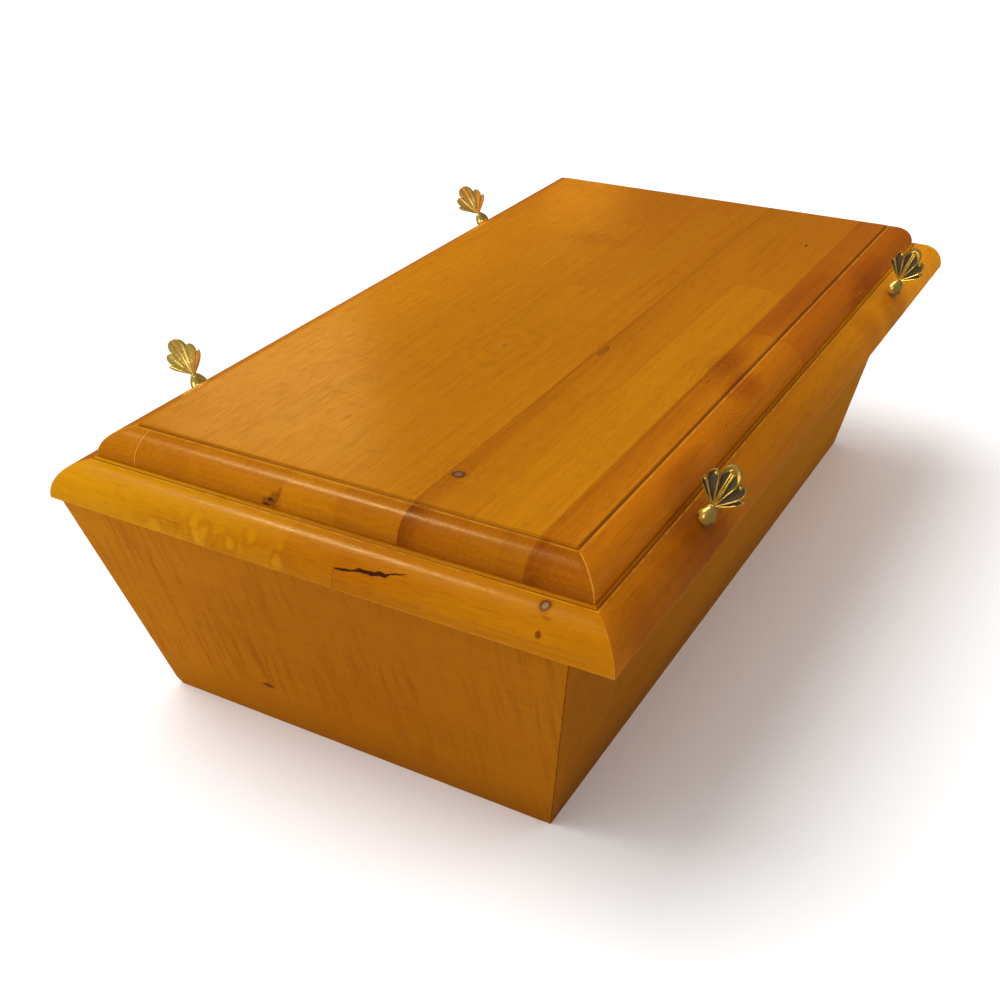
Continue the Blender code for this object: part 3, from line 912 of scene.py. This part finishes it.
@dataclass
class RoutedBoard:
    """A board whose four edges are routed to a rounded border and a small step."""

    width: float
    length: float
    bottom: float
    thickness: float
    edge: float
    rounding: float
    step: float
    shift: float = 0.0134
    shoulder: float = 0.0014
    foot_ease: float = 0.0004
    field_rise: tuple[float, float] = (0.0002, 0.00001)
    segments: int = 28
    cove_segments: int = 4
    spacing: float = 0.006

    def profile(self) -> list[tuple[float, float]]:
        """Trace the border from the board's foot to its field.

        Returns:
            Insets from the edge and heights over the underside.
        """
        rise = self.thickness - self.edge - self.step
        points = [(0.0, self.foot_ease), (0.0, self.edge)]
        for index in range(1, self.segments + 1):
            angle = index / self.segments * math.pi / 2
            points.append((self.rounding * (1 - math.cos(angle)), self.edge + rise * math.sin(angle)))
        for index in range(1, self.cove_segments + 1):
            angle = index / self.cove_segments * math.pi / 2
            points.append((self.rounding + self.shoulder * math.sin(angle),
                           self.thickness - self.step * math.cos(angle)))
        inwards, rise = self.field_rise
        return points + [(self.rounding + self.shoulder + inwards, self.thickness + rise)]

    def shape(self) -> Shape:
        """Rout the board.

        Returns:
            The shape, in place.
        """
        bm = bmesh.new()
        bmesh.ops.create_cube(bm, size=1.0)
        profile = self.profile()
        for vert in bm.verts:
            vert.co.x *= self.width
            vert.co.y *= self.length
            vert.co.z = profile[0][1] if vert.co.z < 0 else profile[1][1]
        cap = max(bm.faces, key=lambda face: face.calc_center_median().z)
        foot = min(bm.faces, key=lambda face: face.calc_center_median().z)
        before = profile[1]
        for inset, height in profile[2:]:
            cap = self.raise_face(bm, cap, inset - before[0], height - before[1])
            before = (inset, height)
        self.raise_face(bm, foot, profile[0][1], -profile[0][1])
        for axis, size in enumerate((self.width, self.length)):
            edges = [edge for edge in bm.edges
                     if abs(edge.verts[0].co[axis] - edge.verts[1].co[axis]) > size * 0.6]
            bmesh.ops.subdivide_edges(bm, edges=edges, cuts=int(size / self.spacing), use_grid_fill=True)
        bmesh.ops.translate(bm, verts=bm.verts, vec=(self.shift, 0, self.bottom))
        return bm

    @staticmethod
    def raise_face(bm: Shape, cap: bmesh.types.BMFace, inset: float,
                   rise: float) -> bmesh.types.BMFace:
        """Draw a face inwards and up.

        Args:
            bm: The shape that it belongs to.
            cap: The face.
            inset: How far it is drawn in.
            rise: How far it is raised.

        Returns:
            The raised face.
        """
        raised = bmesh.ops.extrude_face_region(bm, geom=[cap])["geom"]
        bmesh.ops.delete(bm, geom=[cap], context="FACES_ONLY")
        cap = next(item for item in raised if isinstance(item, bmesh.types.BMFace))
        for vert in cap.verts:
            vert.co.x -= math.copysign(inset, vert.co.x)
            vert.co.y -= math.copysign(inset, vert.co.y)
            vert.co.z += rise
        return cap

    def height_at(self, inset: float) -> float:
        """Return the height of the border's surface at an inset from the edge."""
        rise = self.thickness - self.edge - self.step
        return self.bottom + self.edge + rise * math.sin(math.acos(1 - inset / self.rounding))


@dataclass
class Lid:
    """The two boards of the lid."""

    lower: RoutedBoard = field(default_factory=lambda: RoutedBoard(
        0.430, 0.7526, 0.1833, 0.027, 0.0015, 0.0225, 0.0011))
    upper: RoutedBoard = field(default_factory=lambda: RoutedBoard(
        0.3792, 0.7018, 0.2106, 0.0212, 0.0009, 0.0206, 0.0019))

    def build(self) -> None:
        """Build and dress both boards."""
        golden = GoldenBoard("golden varnished board", self.lower).make()
        amber = AmberBoard("amber varnished board", self.upper).make()
        put_piece("lid_lower_board_wood", self.lower.shape(), golden, "lid_wood", "lid_lower_board")
        put_piece("lid_upper_board_wood", self.upper.shape(), amber, "lid_wood", "lid_upper_board")


@dataclass
class Box:
    """The box: two long walls, two short walls and a floor."""

    ease: float = 0.0006
    cut: float = 0.03

    def build(self) -> None:
        """Build and dress the five boards."""
        ends = Figure(rings=0.03, fibres=0.32, clouds=0.22, pores=0.25, curl=0.33, curl_spacing=0.0036,
                      curl_slant=0.04)
        sides = Figure(rings=0.12, fibres=0.50, clouds=0.25, pores=0.35, curl=0.08)
        long_tones = ((-0.33, (0.340, 0.110, 0.001)), (-0.10, (0.420, 0.146, 0.001)),
                      (0.33, (0.530, 0.200, 0.001)))
        # The end boards darken from left to right: partly the wood's own tone, partly painted shade, as the
        # light comes from the left.
        short_tones_and_shade = ((-0.20, (0.510, 0.180, 0.001)), (0.0, (0.475, 0.162, 0.001)),
                       (0.20, (0.400, 0.134, 0.001)))
        floor_tones = ((-0.33, (0.430, 0.145, 0.004)), (0.33, (0.430, 0.145, 0.004)))
        long_wood = BoxWood("orange board, long grain", "yzx", long_tones, sides, 0.4).make()
        short_wood = BoxWood("orange board, curly", "xzy", short_tones_and_shade, ends, 0.1).make()
        floor_wood = BoxWood("orange board, floor", "yxz", floor_tones, sides, 0.8).make()
        for node, material in (("side_board_left", long_wood), ("side_board_right", long_wood),
                               ("end_board_front", short_wood), ("end_board_back", short_wood),
                               ("base_board", floor_wood)):
            put_piece(f"{node}_wood", eased_copy(node, self.ease, self.cut), material, "box_wood", node)


@dataclass(frozen=True)
class Lobe:
    """A lobe of the fan: its middle angle and half spread in degrees, its length and the notches beside it."""

    middle: float
    half: float
    length: float
    before: float
    after: float

    def edge(self, across: float) -> float:
        """Return the reach of the scalloped edge, across the lobe from -1 to 1."""
        base = self.before + (self.after - self.before) * (across + 1) / 2
        return base + (self.length - (self.before + self.after) / 2) * math.sqrt(max(0.0, 1 - across * across))


@dataclass(frozen=True)
class ScrewPlace:
    """Where a screw stands: side and end of the lid, its offsets, and its tilt, lean and turn in degrees."""

    node: str
    side: int
    end: int
    further: float
    higher: float
    tilt: float
    lean: float
    turn: float


@dataclass(frozen=True)
class Egg:
    """A lobe of the bulb: its height and radius, how far out and how low it sits, and its patina outside, which
    on the side lobes is partly painted shade.
    """

    height: float
    radius: float
    spread: float
    drop: float
    aged: float


@dataclass
class CoffinScrews:
    """The four cast brass screws, each a lobed bulb, a slim neck and a fan of five hollowed lobes."""

    lid: Lid
    edge_inset: float = 0.0065
    end_inset: float = 0.154
    stand: float = 0.0104
    collar_radius: float = 0.0040
    neck_radius: float = 0.0017
    neck_rise: float = 0.0049
    foot_sink: float = 0.0003
    fan_root: float = 0.0012
    fan_thickness: float = 0.0010
    wire: float = 0.00090
    wire_rise: float = 0.0013
    rib: float = 0.00150
    rib_length: float = 0.84
    cup: float = 0.0010
    sweep: float = 0.0026
    fan_half_angle: float = 52.0
    full_width_at: float = 0.018
    full_depth_at: float = 0.010
    flute: float = 0.0006
    lip_start: float = 0.80
    lip_rise: float = 0.0012
    scroll_depth: float = 0.8
    scroll_across: float = 0.50
    scroll_row: float = 0.90
    scroll_lift: float = 0.0004
    scroll_radii: tuple[float, float] = (0.0016, 0.0011)
    outer_from: float = 40.0
    stem_reach: float = 1.25
    bright: float = 0.06
    neck_patina: float = 0.3
    # The stem under the bulb: its patina darkened further as painted shade.
    stem_patina_and_shade: float = 0.6
    large: Egg = Egg(0.0130, 0.0044, 0.0033, 0.0, 0.08)
    # The side lobes' darker value is partly patina, partly painted shade that makes them read dark beside the
    # front and back lobes.
    small: Egg = Egg(0.0088, 0.0029, 0.0029, 0.0016, 0.48)
    columns: int = 16
    rows: int = 44
    lobes: tuple[Lobe, ...] = (
        Lobe(-46.0, 6.0, 0.0210, 0.0105, 0.0160), Lobe(-28.5, 11.5, 0.0253, 0.0160, 0.0205),
        Lobe(0.0, 17.0, 0.0316, 0.0205, 0.0205),
        Lobe(28.5, 11.5, 0.0253, 0.0205, 0.0160), Lobe(46.0, 6.0, 0.0210, 0.0160, 0.0105))
    places: tuple[ScrewPlace, ...] = (
        ScrewPlace("shell_screw_front_right", 1, -1, 0.0, -0.0015, 22.0, -6.0, 0.0),
        ScrewPlace("shell_screw_back_right", 1, 1, 0.0, 0.0018, 20.0, -1.0, -8.0),
        ScrewPlace("shell_screw_front_left", -1, -1, 0.0, -0.0013, 33.0, 0.0, 194.0),
        ScrewPlace("shell_screw_back_left", -1, 1, 0.0047, 0.0012, 31.0, 7.0, 189.0))

    def fan_point(self, lobe: Lobe, across: float, row: float) -> tuple[Vector, float]:
        """Find a point of the fan's front.

        Args:
            lobe: The lobe that it lies in.
            across: From -1 to 1 across the lobe.
            row: From 0 at the root to 1 at the edge.

        Returns:
            The point, and how deep it lies in the fan's hollows, from 0 to 1.
        """
        angle = math.radians(lobe.middle + lobe.half * across)
        edge = lobe.edge(across)
        reach = self.fan_root + (edge - self.fan_root) * row
        to_wire = reach * math.radians(lobe.half) * (1 - abs(across))
        to_rim = edge - reach
        width = self.wire * (0.55 + 0.45 * min(1.0, reach / self.full_width_at))
        crest = max(self.round_over(to_wire, width), self.round_over(to_rim, width))
        if lobe.middle == 0:
            ends = 1 - min(1.0, max(0.0, (row - self.rib_length) / 0.06))
            double = abs(reach * angle) - self.rib * 0.55 * min(1.0, reach / 0.014)
            crest = max(crest, ends * 0.9 * self.round_over(abs(double), self.rib * 0.7))
        grown = min(1.0, reach / self.full_depth_at)
        forward = self.wire_rise * crest * grown + self.cup * (math.degrees(angle) / self.fan_half_angle) ** 2
        forward -= self.flute * grown * (1 - across * across) * (1 - crest)
        lip = max(0.0, (row - self.lip_start) / (1 - self.lip_start)) if lobe.middle == 0 else 0.0
        forward += self.lip_rise * lip ** 2
        drawn = self.sweep * (reach / self.lobes[2].length) ** 3
        patina_and_shade = (1 - crest) ** 0.7 * (1 - 0.9 * min(1.0, lip * 2.2))
        place = Vector((reach * math.sin(angle), drawn - forward, self.neck_rise + reach * math.cos(angle)))
        return place, patina_and_shade * min(1.0, reach / 0.006)

    @staticmethod
    def round_over(away: float, radius: float) -> float:
        """Return the height of a round wire over its bed, from 0 to 1, at a distance from its middle."""
        return math.sqrt(max(0.0, 1 - (away / radius) ** 2))

    def fan(self) -> Shape:
        """Cast the fan: wires and a rib in front, flutes behind.

        Returns:
            The closed shape, with a value for its hollows.
        """
        bm = bmesh.new()
        parts = (0, 1, 2, 2, 3, 4)
        columns = self.columns * len(parts)
        bmesh.ops.create_grid(bm, x_segments=columns, y_segments=self.rows, size=1.0)
        layer = bm.verts.layers.float.new("patina_and_shade")
        for vert in bm.verts:
            column = round((vert.co.x + 1) / 2 * columns)
            part = min(column // self.columns, len(parts) - 1)
            share = (1 - math.cos(math.pi * (column / self.columns - part))) / 2
            index = parts[part]
            across = 2 * share - 1 if index != 2 else share - 1 if part == 2 else share
            row = 1 - (1 - (vert.co.y + 1) / 2) ** 1.5
            vert.co, vert[layer] = self.fan_point(self.lobes[index], across, row)
        raised = bmesh.ops.extrude_face_region(bm, geom=bm.faces[:])["geom"]
        for vert in (item for item in raised if isinstance(item, bmesh.types.BMVert)):
            self.shape_back(vert, layer)
        return bm

    def shape_back(self, vert: bmesh.types.BMVert, layer: object) -> None:
        """Move a vertex of the fan's front to its smooth, fluted back.

        Args:
            vert: The vertex.
            layer: The value for hollows.
        """
        up = vert.co.z - self.neck_rise
        reach = math.hypot(vert.co.x, up)
        angle = math.degrees(math.atan2(vert.co.x, up))
        lobe = min(self.lobes, key=lambda item: abs(angle - item.middle) / item.half)
        across = max(-1.0, min(1.0, (angle - lobe.middle) / lobe.half))
        grown = min(1.0, reach / self.full_depth_at)
        bulge = 0.0009 * (1 - across ** 4) * grown
        if lobe.middle == 0:
            bulge += 0.00045 * grown * max(0.0, math.cos(3 * math.pi * across)) * (1 - across ** 4)
        drawn = self.sweep * (reach / self.lobes[2].length) ** 3
        vert.co.y = drawn + self.fan_thickness * 0.6 + bulge - self.cup * (angle / self.fan_half_angle) ** 2
        vert[layer] = self.bright + 0.55 * max(0.0, abs(across) - 0.6) / 0.4

    def egg(self, turn: float, egg: Egg) -> Shape:
        """Cast one egg-shaped lobe of the bulb.

        Args:
            turn: Its direction round the axis, in radians.
            egg: Its sizes.

        Returns:
            The closed shape.
        """
        bm = bmesh.new()
        bmesh.ops.create_uvsphere(bm, u_segments=28, v_segments=18, radius=1.0)
        layer = bm.verts.layers.float.new("patina_and_shade")
        for vert in bm.verts:
            taper = 1 - 0.28 * vert.co.z
            inner = max(0.0, -vert.co.x)
            lean = egg.spread * (1 - 0.35 * vert.co.z)
            # Darker towards the inside, where patina sits between the lobes; the darkening of each lobe's
            # underside is painted shade.
            vert[layer] = min(1.0, egg.aged + 0.8 * inner ** 2 + 0.5 * max(0.0, -vert.co.z - 0.35))
            vert.co = Vector((lean + vert.co.x * egg.radius * taper, vert.co.y * egg.radius * taper,
                              vert.co.z * egg.height / 2 - egg.drop))
        bmesh.ops.rotate(bm, verts=bm.verts, matrix=Matrix.Rotation(turn, 3, "Z"))
        return bm

    def rod(self, bottom: float, top: float, low: float, high: float, patina_and_shade: float) -> Shape:
        """Turn a round rod or cone on the screw's axis.

        Args:
            bottom: Its lower end.
            top: Its upper end.
            low: Its radius below.
            high: Its radius above.
            patina_and_shade: How dark it is: its patina, and on the stem partly painted shade.

        Returns:
            The closed shape.
        """
        bm = bmesh.new()
        bmesh.ops.create_cone(bm, cap_ends=True, segments=32, radius1=low, radius2=high, depth=top - bottom,
                              matrix=Matrix.Translation((0, 0, (bottom + top) / 2)))
        return self.aged(bm, patina_and_shade)

    @staticmethod
    def aged(bm: Shape, patina_and_shade: float) -> Shape:
        """Give a whole shape one value for its patina, which on the stem is partly painted shade.

        Args:
            bm: The shape.
            patina_and_shade: How dark it is: its patina, and on the stem partly painted shade.

        Returns:
            The same shape.
        """
        layer = bm.verts.layers.float.new("patina_and_shade")
        for vert in bm.verts:
            vert[layer] = patina_and_shade
        return bm

    def scroll(self, centre: Vector, radius: float) -> Shape:
        """Cast the small bright curl at a side lobe's edge.

        Args:
            centre: Its middle.
            radius: Its radius.

        Returns:
            The closed shape.
        """
        bm = bmesh.new()
        bmesh.ops.create_uvsphere(bm, u_segments=16, v_segments=10, radius=radius)
        bmesh.ops.scale(bm, verts=bm.verts, vec=(1.0, self.scroll_depth, 1.0))
        bmesh.ops.translate(bm, verts=bm.verts, vec=centre)
        return self.aged(bm, self.bright)

    def casting(self) -> bpy.types.Mesh:
        """Join the parts of one screw round its own axis.

        Returns:
            The mesh.
        """
        parts = [self.fan(),
                 self.rod(-self.neck_rise / 2, self.neck_rise + self.neck_radius, self.collar_radius,
                          self.neck_radius, self.neck_patina),
                 self.rod(-self.stem_reach * self.stand, 0.0, self.collar_radius, self.collar_radius,
                          self.stem_patina_and_shade)]
        for side in (1, -1):
            parts += [self.egg(side * math.pi / 2, self.large), self.egg((side - 1) * math.pi / 2, self.small)]
        for lobe in self.lobes:
            if lobe.middle:
                nearer = -math.copysign(self.scroll_across, lobe.middle)
                centre = self.fan_point(lobe, nearer, self.scroll_row)[0] - Vector((0, self.scroll_lift, 0))
                parts.append(self.scroll(centre, self.scroll_radii[abs(lobe.middle) > self.outer_from]))
        mesh = bpy.data.meshes.new("shell_screw_casting")
        whole = bmesh.new()
        whole.verts.layers.float.new("patina_and_shade")
        for part in parts:
            bmesh.ops.recalc_face_normals(part, faces=part.faces)
            part.to_mesh(mesh)
            part.free()
            whole.from_mesh(mesh)
        whole.to_mesh(mesh)
        whole.free()
        return mesh

    def build(self) -> list[Piece]:
        """Cast, place and dress the four screws.

        Returns:
            The four pieces.
        """
        pieces = []
        casting = self.casting()
        brass = AgedBrass().make()
        for place in self.places:
            turned = Euler((0, 0, math.radians(place.turn))).to_matrix()
            leaned = Euler((math.radians(place.lean), 0, 0)).to_matrix()
            tilted = Euler((0, math.radians(place.side * place.tilt), 0)).to_matrix()
            stance = (tilted @ leaned @ turned).to_4x4()
            stance.translation = self.foot(place) + Vector((0, 0, self.stand + place.higher))
            bm = bmesh.new()
            bm.from_mesh(casting)
            bmesh.ops.transform(bm, matrix=stance, verts=bm.verts)
            self.seat(bm, place)
            pieces.append(put_piece(f"{place.node}_brass", bm, brass, "brass", place.node, sharp=55.0))
        bpy.data.meshes.remove(casting)
        return pieces

    def foot(self, place: ScrewPlace) -> Vector:
        """Find the point of the lower board's border that a screw stands on.

        Args:
            place: Where the screw stands.

        Returns:
            The point.
        """
        lower = self.lid.lower
        return Vector((lower.shift + place.side * (lower.width / 2 - self.edge_inset),
                       place.end * (lower.length / 2 - self.end_inset - place.further),
                       lower.height_at(self.edge_inset)))

    def seat(self, bm: Shape, place: ScrewPlace) -> None:
        """Cut the screw's foot to the slope of the border under it.

        Args:
            bm: The screw, in place.
            place: Where it stands.
        """
        lower = self.lid.lower
        angle = math.acos(1 - self.edge_inset / lower.rounding)
        rise = lower.thickness - lower.edge - lower.step
        slope = Vector((place.side * rise * math.cos(angle), 0, lower.rounding * math.sin(angle))).normalized()
        cut = bmesh.ops.bisect_plane(
            bm, geom=bm.verts[:] + bm.edges[:] + bm.faces[:], dist=1e-6,
            plane_co=self.foot(place) - slope * self.foot_sink, plane_no=slope, clear_inner=True)
        edges = [item for item in cut["geom_cut"] if isinstance(item, bmesh.types.BMEdge)]
        bmesh.ops.holes_fill(bm, edges=edges, sides=0)


@dataclass
class Studio:
    """The camera, the lights and the floor."""

    turn: float = 0.5305
    rise: float = 0.5213
    roll: float = -0.0152
    offset: tuple[float, float, float] = (-0.07052, 0.038442, 1.22292)
    focal_pixels: float = 1349.0952
    middle: tuple[float, float] = (474.0629, 503.4672)
    frame_pixels: float = 1000.0
    daylight: float = 2.2
    gleam: float = 0.72
    ambient: float = 0.60
    mirrored: float = 0.045
    lit_brass: bpy.types.Collection | None = None
    lit_backs: bpy.types.Collection | None = None

    def camera(self) -> None:
        """Stand the camera where the photograph was taken from."""
        back = Vector((math.sin(self.turn) * math.cos(self.rise), -math.cos(self.turn) * math.cos(self.rise),
                       math.sin(self.rise)))
        right = Vector((0, 0, 1)).cross(back).normalized()
        up = back.cross(right)
        tilted_right = math.cos(self.roll) * right + math.sin(self.roll) * up
        tilted_up = -math.sin(self.roll) * right + math.cos(self.roll) * up
        across, over, away = self.offset
        lens = bpy.data.cameras.new("photo_camera")
        lens.sensor_width = 36.0
        lens.lens = self.focal_pixels / self.frame_pixels * lens.sensor_width
        lens.shift_x = (self.frame_pixels / 2 - self.middle[0]) / self.frame_pixels
        lens.shift_y = (self.middle[1] - self.frame_pixels / 2) / self.frame_pixels
        camera = bpy.data.objects.new("photo_camera", lens)
        stand = Matrix((tilted_right, tilted_up, back)).transposed().to_4x4()
        stand.translation = across * tilted_right + over * tilted_up + away * back
        camera.matrix_world = stand
        bpy.context.scene.collection.objects.link(camera)
        bpy.context.scene.camera = camera

    def light(self, name: str, kind: str, power: float, colour: Colour, back: Vector) -> Piece:
        """Add a light.

        Args:
            name: What it is called.
            kind: Blender's name of its kind.
            power: Its strength.
            colour: Its colour.
            back: The direction that it shines from.

        Returns:
            The light.
        """
        data = bpy.data.lights.new(name, kind)
        data.energy, data.color = power, colour
        light = bpy.data.objects.new(name, data)
        light.rotation_euler = back.to_track_quat("Z", "Y").to_euler()
        bpy.context.scene.collection.objects.link(light)
        return light

    def build(self) -> None:
        """Set the camera, the lights, the surroundings and the floor."""
        self.camera()
        white, warm, cool = (1.0, 1.0, 1.0), (1.0, 0.96, 0.86), (0.85, 0.95, 1.5)
        for name, power, colour, back, spread, glossy, diffuse in (
                ("soft daylight", self.daylight, white, (-0.50, -0.10, 0.86), 50.0, False, True),
                ("window's gleam", self.gleam, (1.0, 0.90, 0.58), (-0.512, 0.070, 0.856), 11.0, True, False)):
            sun = self.light(name, "SUN", power, colour, Vector(back))
            sun.data.angle = math.radians(spread)
            sun.visible_glossy, sun.visible_diffuse = glossy, diffuse
        lid, haze = Vector((0.0, 0.0, 0.2)), Vector((-0.115, -0.24, 0.232))
        corner = Vector((-0.118, 0.300, 0.232))
        amber, red = (1.0, 0.62, 0.20), (1.0, 0.45, 0.04)
        for name, target, back, size, power, colour, glossy, diffuse, lit in (
                ("front fill", lid, (-1.2, -1.9, 0.9), (1.4, 1.0), 6.0, white, False, True, None),
                ("window behind", haze, (-1.08, 1.27, 0.79), (0.44, 0.36), 1.4, amber, True, True, None),
                ("far strip", corner, (-0.6592, 1.3808, 0.4656), (0.17, 0.02), 0.12, red, True, False, None),
                ("screw key lamp", lid, (-1.1, 0.1, 1.0), (0.7, 0.7), 15.0, warm, True, True, self.lit_brass),
                ("screw front lamp", lid, (-0.7, -1.5, 0.3), (0.9, 0.9), 12.0, warm, True, True, self.lit_brass),
                ("screw side lamp", lid, (1.3, -1.1, 0.5), (1.6, 1.6), 24.0, cool, True, True, self.lit_backs),
                ("right fill", lid, (1.5, 1.3, 0.3), (1.2, 0.8), 5.0, white, False, True, None)):
            lamp = self.light(name, "AREA", power, colour, Vector(back))
            lamp.data.shape = "RECTANGLE"
            lamp.data.size, lamp.data.size_y = size
            lamp.location = target + Vector(back)
            lamp.visible_glossy, lamp.visible_diffuse = glossy, diffuse
            if lit:
                lamp.light_linking.receiver_collection = lit
        self.surroundings()
        self.floor()
        bpy.context.scene.view_settings.view_transform = "Standard"

    def surroundings(self) -> None:
        """Surround the set with pale light that is dimmer in reflections."""
        world = bpy.data.worlds.new("soft surroundings")
        bpy.context.scene.world = world
        world.use_nodes = True
        nodes, links = world.node_tree.nodes, world.node_tree.links
        path = nodes.new("ShaderNodeLightPath")
        strength = self.ambient
        for output, level in (("Is Camera Ray", 1.0), ("Is Glossy Ray", self.mirrored)):
            step = nodes.new("ShaderNodeMath")
            step.operation = "MULTIPLY_ADD"
            links.new(path.outputs[output], step.inputs[0])
            step.inputs[1].default_value = level - self.ambient
            if isinstance(strength, float):
                step.inputs[2].default_value = strength
            else:
                links.new(strength, step.inputs[2])
            strength = step.outputs[0]
        links.new(strength, nodes["Background"].inputs["Strength"])
        nodes["Background"].inputs["Color"].default_value = (1.0, 1.0, 1.0, 1.0)

    def floor(self) -> None:
        """Lay the plain pale floor."""
        floor = Recipe("pale floor")
        floor.shader.inputs["Base Color"].default_value = (0.97, 0.97, 0.97, 1.0)
        floor.shader.inputs["Roughness"].default_value = 0.9
        floor.shader.inputs["Specular IOR Level"].default_value = 0.1
        bm = bmesh.new()
        bmesh.ops.create_circle(bm, cap_ends=True, segments=96, radius=9.0)
        mesh = bpy.data.meshes.new("floor")
        bm.to_mesh(mesh)
        bm.free()
        mesh.materials.append(floor.material)
        ground = bpy.data.objects.new("floor", mesh)
        bpy.context.scene.collection.objects.link(ground)
        ground.visible_glossy = False


def main() -> None:
    """Build the studio, the box, the lid and the screws, in that order."""
    logging.basicConfig(level=logging.INFO, format="%(message)s")
    lit_brass = bpy.data.collections.new("lit by the screw lamps")
    lit_backs = bpy.data.collections.new("lit by the screw side lamp")
    Studio(lit_brass=lit_brass, lit_backs=lit_backs).build()
    Box().build()
    lid = Lid()
    lid.build()
    for screw in CoffinScrews(lid).build():
        lit_brass.objects.link(screw)
        if "left" in screw.name:
            lit_backs.objects.link(screw)


if __name__ == "__main__":
    main()
